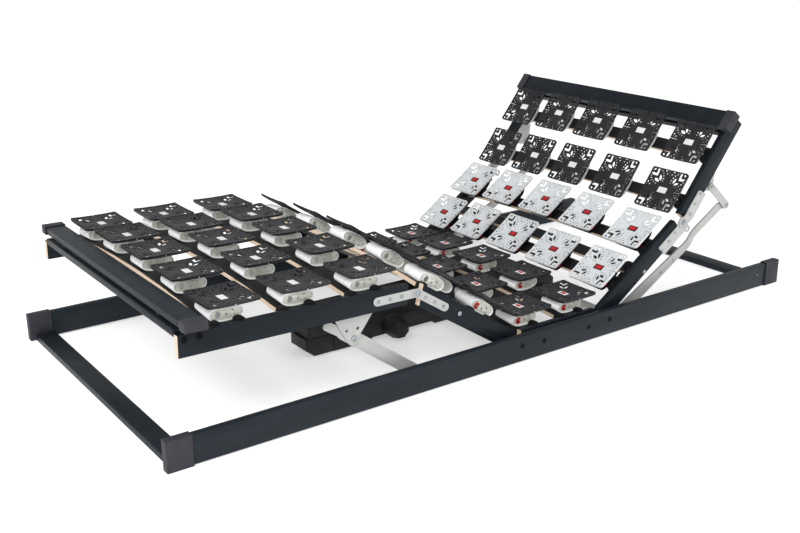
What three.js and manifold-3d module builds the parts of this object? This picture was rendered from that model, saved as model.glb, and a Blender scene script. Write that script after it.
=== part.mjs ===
// Adjustable bed base, 90 x 200 cm: a low timber base frame, a fixed seat section and four hinged
// sections (thigh, calf, back, head) that carry slats with spring-borne plates, lifted by one drive.
//
// Millimetres, +Z up. Origin: centre of the base frame on its resting plane. +X runs from the foot
// end to the head end, +Y to the sleeper's left. "near" is the -Y side and "far" the +Y side.
// Every hinged section is drawn flat in its own frame, whose origin is its hinge, and its group is
// turned about Y to the half-raised pose that the object rests in.

import * as THREE from 'three';
import { mergeVertices } from 'three/addons/utils/BufferGeometryUtils.js';
import Module from 'manifold-3d';

const wasm = await Module();
wasm.setup();

// ---- driving dimensions -------------------------------------------------------------------------

const GAP = 0.3; // play between pieces that touch

// Base frame.
const BASE_LENGTH = 2000;
const BASE_WIDTH = 900;
const BASE_RAIL = { outer: 447.5, thick: 18, bottom: 2.5, top: 70.5 };
const CAP = { length: 60.4, inner: 427.8, height: 73, end: 3 };
const CROSS = { from: 936, to: 986, height: 16.5 };

// Hinges, seen from the side. The sections are in line when they lie flat.
const PIVOT_Z = 42;
const THIGH_X = -30;
const THIGH_LENGTH = 368;
const CALF_LENGTH = 602;
const BACK_X = 281;
const BACK_LENGTH = 369;
const HEAD_LENGTH = 337;
const THIGH_UP = 33;
const KNEE_DOWN = 32;
const BACK_UP = 35;
const HEAD_UP = 17;

// Section rails.
const RAIL = { outer: 410, inner: 394, half: 25 };
const RAIL_END = { radius: 20, shoulder: 14 };
const SEAT_RAIL = { from: -6, to: 257 };
const SEAT_SCREWS = [42, 200];
const SPACER_R = 12;
const BOLT = { shank: 6, hole: 6.5, collar: 11, head: 9, end: 390.8 };

// Slats, springs and plates. Heights are above the rail's centre line.
const COLUMNS = [-347, -173.5, 0, 173.5, 347];
const SLAT = { half: 388, top: 21, thick: 10, steps: 8 };
const BOW = { rise: 19, half: 390 };
const HOLDER = { inner: 378.5, bottom: 10, saddle: 24, top: 31, lap: 4 };
const SPRING = { half: 39, shift: -7, top: 57, band: 62, wall: 4 };
const PLATE = { length: 124, width: 128, thick: 3, corner: 10 };
const WIDE_SLAT = [-60, 28]; // from the middle of its plates
const BITE = 0.5; // how far joined shapes run into each other

// Bars across the foot and head ends, and the cross rails under them.
const BAR = { half: 435, end: 438, capInner: 409, wall: 2.2 };
const FOOT_BAR = { from: -595, to: -546, bottom: 39, top: 57, spacerX: -586 };
const HEAD_BAR = { from: 280, to: 330, bottom: 34.3, top: 59, spacerX: 289 };
const FOOT_CROSS = { x: -592.5, bottom: 17, top: 33 };
const HEAD_CROSS = { x: 286, bottom: 0, top: 25 };
const CROSS_RAIL = { thick: 18, half: 391 };
const BAR_SPACER = { radius: 8, y: 290 };

// Steel straps and plates on the outside of the rails, in two layers at the hinge.
const STEEL = { first: [410.3, 413.3], second: [413.6, 416.6] };
const KNEE = { half: 10.5, calfEnd: 122, thighEnd: 110, lapFrom: 22 };
const PIN = { radius: 5, hole: 5.4, head: 8, headEnd: 419 };

// Lift levers and the shafts that turn them.
const LEG_SHAFT = { x: -310, z: 20 };
const BACK_SHAFT = { x: 350, z: 18 };
const SHAFT_R = 13;
const STUB_R = 6;
const LEVER = { inner: 384.4, outer: 390.4 };
const LEG_LEVER = { rest: 36.2, bracketPin: 240.4, slot: [236, 264], slotHalf: 8.6, tip: 319 };
const BACK_LEVER = { rest: 29.47, length: 505.3, boss: 13, hole: 9.2 };
const HEAD_PIN = { x: 144, z: -56.8 };
const LINK = { inner: 394.3, outer: 399, width: 22, length: 98.3, rest: 93.9 };
const LEG_PIN = { x: -164, z: -83.3 };

// ---- small tools --------------------------------------------------------------------------------

const deg = THREE.MathUtils.degToRad;

function toSolid(geometry) {
  const loose = geometry.index ? geometry.toNonIndexed() : geometry;
  const bare = new THREE.BufferGeometry();
  bare.setAttribute('position', loose.getAttribute('position'));
  const merged = mergeVertices(bare, 1e-4);
  return new wasm.Manifold(new wasm.Mesh({
    numProp: 3,
    vertProperties: merged.attributes.position.array,
    triVerts: new Uint32Array(merged.index.array),
  }));
}

function toGeometry(solid) {
  const mesh = solid.getMesh();
  const geometry = new THREE.BufferGeometry();
  geometry.setAttribute('position', new THREE.BufferAttribute(mesh.vertProperties, 3));
  geometry.setIndex(new THREE.BufferAttribute(mesh.triVerts, 1));
  return geometry;
}

function join(...geometries) {
  const solids = geometries.map(toSolid);
  return toGeometry(solids.reduce((sum, solid) => sum.add(solid)));
}

function cut(geometry, ...tools) {
  const solids = tools.map(toSolid);
  return toGeometry(solids.reduce((rest, solid) => rest.subtract(solid), toSolid(geometry)));
}

function block(x0, x1, y0, y1, z0, z1) {
  const geometry = new THREE.BoxGeometry(Math.abs(x1 - x0), Math.abs(y1 - y0), Math.abs(z1 - z0));
  return geometry.translate((x0 + x1) / 2, (y0 + y1) / 2, (z0 + z1) / 2);
}

// A block whose Y limits are distances from the centre plane, on one side of the bed.
function sideBlock(side, x0, x1, y0, y1, z0, z1) {
  return block(x0, x1, side * y0, side * y1, z0, z1);
}

function shapeOf(points) {
  return new THREE.Shape(points.map(([a, b]) => new THREE.Vector2(a, b)));
}

// A side view outline of [x, z] points, carried along Y between two distances from the centre.
function slab(side, outline, [y0, y1]) {
  const shape = Array.isArray(outline) ? shapeOf(outline) : outline;
  const geometry = new THREE.ExtrudeGeometry(shape, { depth: Math.abs(y1 - y0), bevelEnabled: false });
  geometry.rotateX(Math.PI / 2);
  return geometry.translate(0, Math.max(side * y0, side * y1), 0);
}

// An end view outline of [y, z] points, carried along X.
function beam(outline, x0, x1) {
  const geometry = new THREE.ExtrudeGeometry(shapeOf(outline), { depth: x1 - x0, bevelEnabled: false });
  geometry.rotateX(Math.PI / 2);
  geometry.rotateZ(Math.PI / 2);
  return geometry.translate(x0, 0, 0);
}

function rod(side, x, z, radius, [y0, y1], segments = 16) {
  const geometry = new THREE.CylinderGeometry(radius, radius, Math.abs(y1 - y0), segments);
  return geometry.translate(x, side * (y0 + y1) / 2, z);
}

function pillar(x, y, radius, z0, z1) {
  const geometry = new THREE.CylinderGeometry(radius, radius, z1 - z0, 12);
  geometry.rotateX(Math.PI / 2);
  return geometry.translate(x, y, (z0 + z1) / 2);
}

// Points on an arc about (x, z), from one angle to another in degrees.
function arc(x, z, radius, from, to, steps) {
  return Array.from({ length: steps + 1 }, (_, i) => {
    const angle = deg(from + ((to - from) * i) / steps);
    return [x + radius * Math.cos(angle), z + radius * Math.sin(angle)];
  });
}

// A bar with round ends between two points.
function capsule([x0, z0], [x1, z1], radius, steps = 6) {
  const heading = THREE.MathUtils.radToDeg(Math.atan2(z1 - z0, x1 - x0));
  return [
    ...arc(x1, z1, radius, heading - 90, heading + 90, steps),
    ...arc(x0, z0, radius, heading + 90, heading + 270, steps),
  ];
}

const FINISHES = {
  foil: { color: 0x2a3039, roughness: 0.42, metalness: 0.0 },
  grey: { color: 0x55565c, roughness: 0.6, metalness: 0.0 },
  steel: { color: 0xd9dad6, roughness: 0.45, metalness: 0.2 },
  module: { color: 0x2b2b30, roughness: 0.55, metalness: 0.0 },
  white: { color: 0xe3e5e6, roughness: 0.5, metalness: 0.0 },
  motor: { color: 0x252325, roughness: 0.6, metalness: 0.0 },
};

const materials = {};
for (const [name, finish] of Object.entries(FINISHES)) {
  materials[name] = new THREE.MeshStandardMaterial(finish);
}

function piece(group, name, finish, geometry) {
  const mesh = new THREE.Mesh(geometry, materials[finish]);
  mesh.name = name;
  group.add(mesh);
}

function hinged(parent, x, z, angle) {
  const group = new THREE.Group();
  group.position.set(x, 0, z);
  group.rotation.y = deg(angle);
  parent.add(group);
  return group;
}

const SIDES = [['near', -1], ['far', 1]];

// ---- sections of the frame ----------------------------------------------------------------------

const bed = new THREE.Group();
const thigh = hinged(bed, THIGH_X, PIVOT_Z, THIGH_UP);
const calf = hinged(thigh, -THIGH_LENGTH, 0, -KNEE_DOWN);
const back = hinged(bed, BACK_X, PIVOT_Z, -BACK_UP);
const head = hinged(back, BACK_LENGTH, 0, -HEAD_UP);
const legLift = hinged(bed, LEG_SHAFT.x, LEG_SHAFT.z, LEG_LEVER.rest);
const backLift = hinged(bed, BACK_SHAFT.x, BACK_SHAFT.z, -BACK_LEVER.rest);

// ---- base frame ---------------------------------------------------------------------------------

// A side rail with the two hinge bolts of its side standing on its inner face.
function baseRail(side) {
  const inner = BASE_RAIL.outer - BASE_RAIL.thick;
  const reach = BASE_LENGTH / 2 - CAP.end - GAP;
  const bolts = [THIGH_X, BACK_X].flatMap((x) => [
    rod(side, x, PIVOT_Z, BOLT.collar, [inner + BITE, RAIL.outer + GAP]),
    rod(side, x, PIVOT_Z, BOLT.shank, [inner, BOLT.end + BITE]),
    rod(side, x, PIVOT_Z, BOLT.head, [RAIL.inner - GAP, BOLT.end]),
  ]);
  const rail = sideBlock(side, -reach, reach, inner, BASE_RAIL.outer, BASE_RAIL.bottom, BASE_RAIL.top);
  return join(rail, ...bolts);
}

// A moulded cap that slides over the end of a side rail.
function baseCap(side, end) {
  const outer = BASE_WIDTH / 2;
  const shell = block(end * (BASE_LENGTH / 2), end * (BASE_LENGTH / 2 - CAP.length),
    side * outer, side * CAP.inner, 0, CAP.height);
  const pocket = block(end * (BASE_LENGTH / 2 - CAP.end), end * (BASE_LENGTH / 2 - CAP.length - 1),
    side * (BASE_RAIL.outer + GAP), side * (BASE_RAIL.outer - BASE_RAIL.thick - GAP),
    BASE_RAIL.bottom - GAP, BASE_RAIL.top + GAP);
  return cut(shell, pocket);
}

function seatRail(side) {
  const rail = sideBlock(side, SEAT_RAIL.from, SEAT_RAIL.to, RAIL.inner, RAIL.outer,
    PIVOT_Z - RAIL.half, PIVOT_Z + RAIL.half);
  const spacers = SEAT_SCREWS.map((x) => rod(side, x, PIVOT_Z - 2, SPACER_R,
    [RAIL.outer - BITE, BASE_RAIL.outer - BASE_RAIL.thick - GAP]));
  return join(rail, ...spacers);
}

// ---- slat rows ----------------------------------------------------------------------------------

function bow(y) {
  return BOW.rise * (1 - (y / BOW.half) ** 2);
}

// A slat of bent wood, highest in the middle of the bed.
function slat(x0, x1) {
  const top = [];
  const bottom = [];
  for (let i = 0; i <= SLAT.steps; i += 1) {
    const y = SLAT.half * ((2 * i) / SLAT.steps - 1);
    top.unshift([y, SLAT.top + bow(y)]);
    bottom.push([y, SLAT.top - SLAT.thick + bow(y)]);
  }
  return beam([...bottom, ...top], x0, x1);
}

// The rubber shoe that holds a slat's end against the rail, with a hump at each corner.
function holder(side, x0, x1) {
  const from = x0 - HOLDER.lap;
  const to = x1 + HOLDER.lap;
  const hump = Math.min(20, (to - from) / 3);
  const outline = [
    [from, HOLDER.bottom], [to, HOLDER.bottom], [to, HOLDER.saddle],
    [to - hump / 3, HOLDER.top], [to - hump, HOLDER.top], [to - hump - 4, HOLDER.saddle],
    [from + hump + 4, HOLDER.saddle], [from + hump, HOLDER.top], [from + hump / 3, HOLDER.top],
    [from, HOLDER.saddle],
  ];
  return slab(side, outline, [HOLDER.inner, RAIL.inner - GAP]);
}

// A flat hoop of plastic that stands on the slat and carries a plate.
function spring(x, y) {
  const low = SLAT.top - BITE;
  const high = SPRING.top + BITE;
  const ring = (inset) => {
    const half = SPRING.half - inset;
    const z0 = low + inset;
    const z1 = high - inset;
    const mid = (z0 + z1) / 2;
    const rise = (z1 - z0) / 2;
    const upper = [[half, 0], [half * 0.84, 0.62], [half * 0.5, 1], [-half * 0.5, 1], [-half * 0.84, 0.62]];
    const lower = upper.map(([px, pz]) => [-px, -pz]);
    return [...upper, ...lower].map(([px, pz]) => [px, mid + pz * rise]);
  };
  const shape = shapeOf(ring(0));
  shape.holes.push(shapeOf(ring(SPRING.wall)));
  const hoop = slab(1, shape, [-SPRING.band / 2, SPRING.band / 2]);
  return hoop.translate(x + SPRING.shift, y, bow(y));
}

function plate(x, y) {
  const halfX = PLATE.length / 2;
  const halfY = PLATE.width / 2;
  const c = PLATE.corner;
  const shape = shapeOf([
    [-halfX + c, -halfY], [halfX - c, -halfY], [halfX, -halfY + c], [halfX, halfY - c],
    [halfX - c, halfY], [-halfX + c, halfY], [-halfX, halfY - c], [-halfX, -halfY + c],
  ]);
  const geometry = new THREE.ExtrudeGeometry(shape, { depth: PLATE.thick, bevelEnabled: false });
  return geometry.translate(x, y, SPRING.top + bow(y));
}

// One row across the bed: its slats, their shoes, five springs and five plates.
// `slats` are [from, to] along X, from the middle of the row's plates.
function row(x, slats) {
  const from = x + Math.min(...slats.map((s) => s[0]));
  const to = x + Math.max(...slats.map((s) => s[1]));
  return join(
    ...slats.map((s) => slat(x + s[0], x + s[1])),
    holder(-1, from, to),
    holder(1, from, to),
    ...COLUMNS.map((y) => spring(x, y)),
    ...COLUMNS.map((y) => plate(x, y)),
  );
}

// ---- hinged rails -------------------------------------------------------------------------------

// A rail outline from a round hinge end at the origin to `ends`, the two corners of its far end.
function hingeEndRail(ends) {
  const [low, high] = ends;
  const way = Math.sign(low[0]);
  const nose = arc(0, 0, RAIL_END.radius, 73, -73, 8).map(([x, z]) => [-way * x, z]);
  const shoulder = way * RAIL_END.shoulder;
  return [low, high, [shoulder, RAIL.half], ...nose, [shoulder, -RAIL.half]];
}

function rail(side, outline, ...tools) {
  const whole = slab(side, outline, [RAIL.inner, RAIL.outer]);
  return tools.length ? cut(whole, ...tools) : whole;
}

function pivotHole(side) {
  return rod(side, 0, 0, BOLT.hole, [RAIL.inner - 1, RAIL.outer + 1]);
}

const THIGH_KNEE_END = [[25.5 - THIGH_LENGTH, -RAIL.half], [8.7 - THIGH_LENGTH, RAIL.half]];
const CALF_OUTLINE = [
  [-CALF_LENGTH, -RAIL.half], [-26, -RAIL.half], [-23, RAIL.half], [-CALF_LENGTH, RAIL.half],
];
const BACK_NECK_NOTCH = [
  [BACK_LENGTH - 30, -RAIL.half], [BACK_LENGTH - 30, -11], [BACK_LENGTH - 15, -11],
  [BACK_LENGTH - 15, 8], [BACK_LENGTH - 19, RAIL.half],
];
const HEAD_OUTLINE = [
  [26, -RAIL.half], [HEAD_LENGTH, -RAIL.half], [HEAD_LENGTH, RAIL.half], [12.6, RAIL.half],
  [12.6, -9], [26, -9],
];

function backRailOutline() {
  const nose = arc(0, 0, RAIL_END.radius, 107, 253, 8);
  return [
    [RAIL_END.shoulder, RAIL.half], ...nose, [RAIL_END.shoulder, -RAIL.half], ...BACK_NECK_NOTCH,
  ];
}

// ---- bars at the foot and head ------------------------------------------------------------------

function endBar(bar, cross) {
  const spacers = [-1, 1].map((side) => pillar(bar.spacerX, side * BAR_SPACER.y, BAR_SPACER.radius,
    cross.top + GAP, bar.bottom + BITE));
  return join(block(bar.from, bar.to, -BAR.half, BAR.half, bar.bottom, bar.top), ...spacers);
}

function endBarCap(side, bar) {
  const wall = BAR.wall;
  const shell = sideBlock(side, bar.from - wall, bar.to + wall, BAR.capInner, BAR.end,
    bar.bottom - wall, bar.top + wall);
  const pocket = sideBlock(side, bar.from - GAP, bar.to + GAP, BAR.capInner - 1, BAR.half + GAP,
    bar.bottom - GAP, bar.top + GAP);
  return cut(shell, pocket);
}

function crossRail(cross) {
  const { thick, half } = CROSS_RAIL;
  return block(cross.x - thick / 2, cross.x + thick / 2, -half, half, cross.bottom, cross.top);
}

// ---- hinge steel --------------------------------------------------------------------------------

// The calf's knee strap carries the hinge pin.
function kneeStrapCalf(side) {
  const strap = slab(side, capsule([-KNEE.calfEnd + KNEE.half, 0], [0, 0], KNEE.half), STEEL.first);
  const pin = rod(side, 0, 0, PIN.radius, [STEEL.first[0] + BITE, PIN.headEnd - BITE], 12);
  const headDisc = rod(side, 0, 0, PIN.head, [STEEL.second[1] + GAP, PIN.headEnd], 12);
  return join(strap, pin, headDisc);
}

// The thigh's knee strap steps out over the calf's strap and turns on its pin.
function kneeStrapThigh(side) {
  const x = -THIGH_LENGTH;
  const lobe = slab(side, capsule([x, 0], [x + KNEE.lapFrom + 6, 0], KNEE.half), STEEL.second);
  const leg = slab(side, [
    [x + KNEE.lapFrom, -KNEE.half],
    ...arc(x + KNEE.thighEnd - KNEE.half, 0, KNEE.half, -90, 90, 6),
    [x + KNEE.lapFrom, KNEE.half],
  ], [STEEL.first[0], STEEL.second[0] + BITE]);
  return cut(join(lobe, leg), rod(side, x, 0, PIN.hole, [STEEL.first[0] - 1, STEEL.second[1] + 1], 12));
}

const NECK_PIVOT_R = 16;
const NECK_STOP = { x: 7.6, z: -34.3, r: 11, hole: 4.5 };

// The back's neck plate carries the neck pin.
function neckPlateBack(side) {
  const blade = slab(side, [
    [-108, 3], [-100, -31], [0, -31], [0, 3],
  ], STEEL.first);
  const lobe = rod(side, 0, 0, NECK_PIVOT_R, STEEL.first);
  const stop = rod(side, NECK_STOP.x, NECK_STOP.z, NECK_STOP.r, STEEL.first);
  const stopWeb = slab(side, [[-40, -31], [7, -45], [17, -30], [10, -8], [-10, -8]], STEEL.first);
  const hole = rod(side, NECK_STOP.x, NECK_STOP.z, NECK_STOP.hole, [STEEL.first[0] - 1, STEEL.first[1] + 1], 12);
  const sheet = cut(join(blade, lobe, stop, stopWeb), hole);
  const pin = rod(side, 0, 0, PIN.radius, [STEEL.first[0] + BITE, PIN.headEnd - BITE], 12);
  const headDisc = rod(side, 0, 0, PIN.head, [STEEL.second[1] + GAP, PIN.headEnd], 12);
  return join(sheet, pin, headDisc).translate(BACK_LENGTH, 0, 0);
}

// The head's neck plate laps over the back's plate at the pin.
function neckPlateHead(side) {
  const lobe = rod(side, 0, 0, NECK_PIVOT_R, STEEL.second);
  const bridge = slab(side, [[0, -16], [34, -26], [34, 2], [0, 16]], STEEL.second);
  const blade = slab(side, [
    [26, 2], [26, -31], [110, -30], [104, 2],
  ], [STEEL.first[0], STEEL.second[0] + BITE]);
  return cut(join(lobe, bridge, blade), rod(side, 0, 0, PIN.hole, [STEEL.first[0] - 1, STEEL.second[1] + 1], 12));
}

// ---- lift gear ----------------------------------------------------------------------------------

// The bracket under the calf rail, with the stud that slides in the lever's slot.
function legBracket(side) {
  const layer = [LEVER.outer + GAP, RAIL.inner - GAP];
  const sheet = slab(side, [
    [-104, -4], [-108, -RAIL.half], [-146, -76],
    ...arc(LEG_PIN.x, LEG_PIN.z, 18, 290, 230, 4),
    [-183, -88], [-218, -RAIL.half], [-224, -4],
  ], layer);
  const through = [layer[0] - 1, layer[1] + 1];
  const holes = [-183, -153].map((x) => rod(side, x, -61, 4, through, 10));
  const stud = rod(side, LEG_PIN.x, LEG_PIN.z, 5, [LEVER.inner - GAP - 1, layer[1] - BITE], 12);
  const disc = rod(side, LEG_PIN.x, LEG_PIN.z, 11, [LEVER.inner - GAP - 3, LEVER.inner - GAP], 12);
  return join(cut(sheet, ...holes), stud, disc);
}

function shaftTube(stubTo) {
  const reach = LEVER.inner + BITE;
  const tube = rod(1, 0, 0, SHAFT_R, [-reach, reach], 20);
  const stubs = [-1, 1].map((side) => rod(side, 0, 0, STUB_R, [LEVER.inner, stubTo], 12));
  return [tube, ...stubs];
}

const STUB_END = 393.4;

// The leg shaft with a lever welded to each end. The levers run along -X in this frame.
function legLiftFrame() {
  const layer = [LEVER.inner, LEVER.outer];
  const arms = SIDES.map(([, side]) => {
    const outline = [
      ...arc(0, 0, 17, -90, 90, 8),
      [-LEG_LEVER.slot[1] - 4, 17], [-LEG_LEVER.slot[1] - 16, 9],
      ...arc(-LEG_LEVER.tip, -5, 11, 100, 260, 6),
      [-LEG_LEVER.slot[1] - 16, -14], [-LEG_LEVER.slot[1] - 4, -17],
    ];
    const slot = slab(side, capsule([-LEG_LEVER.slot[1], 0], [-LEG_LEVER.slot[0], 0],
      LEG_LEVER.slotHalf), [layer[0] - 1, layer[1] + 1]);
    return cut(slab(side, outline, layer), slot);
  });
  return join(...arms, ...shaftTube(STUB_END));
}

// The back shaft with its two long cranked levers, which run along +X in this frame.
function backLiftFrame() {
  const layer = [LEVER.inner, LEVER.outer];
  const length = BACK_LEVER.length;
  const arms = SIDES.map(([, side]) => {
    const outline = [
      ...arc(0, 0, 16, 100, 250, 8),
      [60, -26], [117, -27], [340, -21], [366, -7], [length - 12, -4], [length, 8],
      [length - 14, 20], [358, 15], [335, 3], [51, 9],
    ];
    const boss = rod(side, length, 0, BACK_LEVER.boss, layer);
    const hole = rod(side, length, 0, BACK_LEVER.hole, [layer[0] - 1, layer[1] + 1]);
    return cut(join(slab(side, outline, layer), boss), hole);
  });
  return join(...arms, ...shaftTube(STUB_END));
}

// A folded bracket on the base rail, in which one end of a lift shaft turns.
function shaftBracket(side, shaft) {
  const inner = BASE_RAIL.outer - BASE_RAIL.thick - GAP;
  const layer = [LEVER.outer + GAP, RAIL.inner - GAP];
  const floor = [2.8, 5.8];
  const ear = slab(side, [
    [shaft.x - 22, floor[0]], [shaft.x + 22, floor[0]], [shaft.x + 14, shaft.z + 16], [shaft.x - 14, shaft.z + 16],
  ], layer);
  const sole = sideBlock(side, shaft.x - 22, shaft.x + 22, layer[0], inner, floor[0], floor[1]);
  const flange = sideBlock(side, shaft.x - 22, shaft.x + 22, inner - 3, inner, floor[0], 40);
  const bore = rod(side, shaft.x, shaft.z, STUB_R + GAP, [layer[0] - 1, layer[1] + 1], 12);
  return cut(join(ear, sole, flange), bore);
}

// The bracket under the head rail that the neck link hangs from.
function headBracket(side) {
  const layer = [LEVER.outer + GAP, RAIL.inner - GAP];
  const sheet = slab(side, [
    [112, -4], [118, -34], ...arc(HEAD_PIN.x, HEAD_PIN.z, 13, 200, 340, 6), [196, -38], [200, -4],
  ], layer);
  return cut(sheet, rod(side, HEAD_PIN.x, HEAD_PIN.z, PIN.hole, [layer[0] - 1, layer[1] + 1], 12));
}

// The neck link, hanging along -Z in this frame, with its two pins.
function neckLink(side) {
  const layer = [LINK.inner, LINK.outer];
  const bar = slab(side, capsule([0, -LINK.length], [0, 0], LINK.width / 2), layer);
  const upperPin = rod(side, 0, 0, PIN.radius, [LEVER.outer - 1, LINK.inner + BITE], 12);
  const upperHead = rod(side, 0, 0, PIN.head, [LEVER.outer - 2.6, LEVER.outer], 12);
  const lowerPin = rod(side, 0, -LINK.length, PIN.radius, [LEVER.inner - GAP - 1, LINK.inner + BITE], 12);
  const lowerHead = rod(side, 0, -LINK.length, 12.5, [LEVER.inner - GAP - 3, LEVER.inner - GAP], 16);
  return join(bar, upperPin, upperHead, lowerPin, lowerHead);
}

// ---- drive --------------------------------------------------------------------------------------

const DRIVE = { half: 112, top: 58, bottom: 12 };
const TRAY = { inner: 34, outer: 112 };
const LID = { inner: 36, outer: 110 };
const POD = { x: -203, z: 36, radius: 32, noseRadius: 23, shoulder: 132, nose: 34 };
const BORE_R = SHAFT_R + 0.6;

// The long drive case, hung on the two lift shafts.
function driveHousing() {
  const outline = [
    [-385, 3], [-280, 3], [-262, DRIVE.bottom], [-62, DRIVE.bottom], [-56, 4], [-4, 4], [2, DRIVE.bottom],
    [318, DRIVE.bottom], [328, 2.5], [374, 2.5], [386, 14], [386, 48], [374, DRIVE.top],
    [-385, DRIVE.top],
  ];
  const span = [-DRIVE.half, DRIVE.half];
  const bores = [LEG_SHAFT, BACK_SHAFT].map((s) => rod(1, s.x, s.z, BORE_R, [-DRIVE.half - 1, DRIVE.half + 1], 20));
  return cut(slab(1, outline, span), ...bores);
}

// The power box at the foot end of the case, on the near side: a tray with a raised lid.
function powerBox() {
  const tray = slab(-1, [[-468, 22], [-443, 3], [-386, 3], [-386, 52], [-468, 52]], [TRAY.inner, TRAY.outer]);
  const lid = slab(-1, [[-461, 50], [-386, 50], [-386, 87], [-453, 87], [-461, 80]], [LID.inner, LID.outer]);
  return join(tray, lid);
}

// The faceted pod on the near side of the case that holds an electric motor.
function drivePod() {
  const barrel = rod(-1, POD.x, POD.z, POD.radius, [DRIVE.half + GAP, POD.shoulder], 10);
  const nose = new THREE.CylinderGeometry(POD.radius, POD.noseRadius, POD.nose + BITE, 10);
  nose.translate(POD.x, -POD.shoulder - (POD.nose - BITE) / 2, POD.z);
  return join(barrel, nose);
}

// ---- assembly -----------------------------------------------------------------------------------

for (const [name, side] of SIDES) {
  piece(bed, `base_rail_${name}`, 'foil', baseRail(side));
  piece(bed, `base_cap_foot_${name}`, 'grey', baseCap(side, -1));
  piece(bed, `base_cap_head_${name}`, 'grey', baseCap(side, 1));
  piece(bed, `seat_rail_${name}`, 'foil', seatRail(side));
  piece(bed, `leg_shaft_bracket_${name}`, 'steel', shaftBracket(side, LEG_SHAFT));
  piece(bed, `back_shaft_bracket_${name}`, 'steel', shaftBracket(side, BACK_SHAFT));

  piece(thigh, `thigh_rail_${name}`, 'foil', rail(side, hingeEndRail(THIGH_KNEE_END), pivotHole(side)));
  piece(thigh, `knee_strap_thigh_${name}`, 'steel', kneeStrapThigh(side));
  piece(calf, `calf_rail_${name}`, 'foil', rail(side, CALF_OUTLINE));
  piece(calf, `knee_strap_calf_${name}`, 'steel', kneeStrapCalf(side));
  piece(calf, `leg_bracket_${name}`, 'steel', legBracket(side));
  piece(calf, `foot_bar_cap_${name}`, 'grey', endBarCap(side, FOOT_BAR));

  piece(back, `back_rail_${name}`, 'foil', rail(side, backRailOutline(), pivotHole(side)));
  piece(back, `neck_plate_back_${name}`, 'steel', neckPlateBack(side));
  piece(head, `head_rail_${name}`, 'foil', rail(side, HEAD_OUTLINE));
  piece(head, `neck_plate_head_${name}`, 'steel', neckPlateHead(side));
  piece(head, `head_bracket_${name}`, 'steel', headBracket(side));
  piece(head, `head_bar_cap_${name}`, 'grey', endBarCap(side, HEAD_BAR));
  piece(hinged(head, HEAD_PIN.x, HEAD_PIN.z, LINK.rest - 90), `neck_link_${name}`, 'steel', neckLink(side));
}

for (const [name, end] of [['foot', -1], ['head', 1]]) {
  const y = BASE_RAIL.outer - 20;
  piece(bed, `base_cross_${name}`, 'foil', block(end * CROSS.from, end * CROSS.to, -y, y, 0, CROSS.height));
}

piece(bed, 'seat_row_foot', 'module', row(38, [WIDE_SLAT]).translate(0, 0, PIVOT_Z));
piece(bed, 'seat_row_head', 'module', row(199, [WIDE_SLAT]).translate(0, 0, PIVOT_Z));
piece(thigh, 'thigh_row_knee', 'module', row(62 - THIGH_LENGTH, [[-46, 42]]));
piece(thigh, 'thigh_row_hip', 'module', row(250 - THIGH_LENGTH, [WIDE_SLAT]));
piece(calf, 'calf_row_knee', 'module', row(-118, [WIDE_SLAT]));
piece(calf, 'calf_row_middle', 'module', row(-294, [WIDE_SLAT]));
piece(calf, 'calf_row_foot', 'module', row(-468, [[-50, 28]]));
piece(calf, 'calf_cross_rail', 'foil', crossRail(FOOT_CROSS));
piece(calf, 'foot_bar', 'foil', endBar(FOOT_BAR, FOOT_CROSS));
piece(back, 'back_row_lower', 'white', row(104, [[-23, 17], [37, 72]]));
piece(back, 'back_row_upper', 'white', row(258, [[-36, 4]]));
piece(head, 'head_row_lower', 'module', row(54, [[-21, 16]]));
piece(head, 'head_row_upper', 'module', row(212, [[-28, 10]]));
piece(head, 'head_cross_rail', 'foil', crossRail(HEAD_CROSS));
piece(head, 'head_bar', 'foil', endBar(HEAD_BAR, HEAD_CROSS));

piece(legLift, 'leg_lift_frame', 'steel', legLiftFrame());
piece(backLift, 'back_lift_frame', 'steel', backLiftFrame());

piece(bed, 'drive_housing', 'motor', driveHousing());
piece(bed, 'drive_power_box', 'motor', powerBox());
piece(bed, 'drive_pod', 'motor', drivePod());

export default bed;
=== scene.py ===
"""Looks of the adjustable bed base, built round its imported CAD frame."""

import math

import bmesh
import bpy
from mathutils import Matrix, Vector


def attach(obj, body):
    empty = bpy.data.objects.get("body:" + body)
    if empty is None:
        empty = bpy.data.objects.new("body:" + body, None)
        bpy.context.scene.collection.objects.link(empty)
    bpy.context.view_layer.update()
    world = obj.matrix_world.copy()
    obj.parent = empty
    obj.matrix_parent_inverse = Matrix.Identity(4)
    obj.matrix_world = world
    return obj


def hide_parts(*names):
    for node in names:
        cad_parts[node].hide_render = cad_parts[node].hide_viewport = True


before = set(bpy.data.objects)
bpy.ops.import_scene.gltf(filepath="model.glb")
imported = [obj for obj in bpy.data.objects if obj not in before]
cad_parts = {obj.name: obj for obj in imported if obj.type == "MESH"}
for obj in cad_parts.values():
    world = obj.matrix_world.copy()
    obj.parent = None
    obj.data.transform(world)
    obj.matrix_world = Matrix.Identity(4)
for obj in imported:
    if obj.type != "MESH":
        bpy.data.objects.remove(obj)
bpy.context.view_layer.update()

MM = 0.001
SIDES = (("near", -1), ("far", 1))

# ---- dimensions, in millimetres: the same as the CAD part's ---------------------------------------

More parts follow.
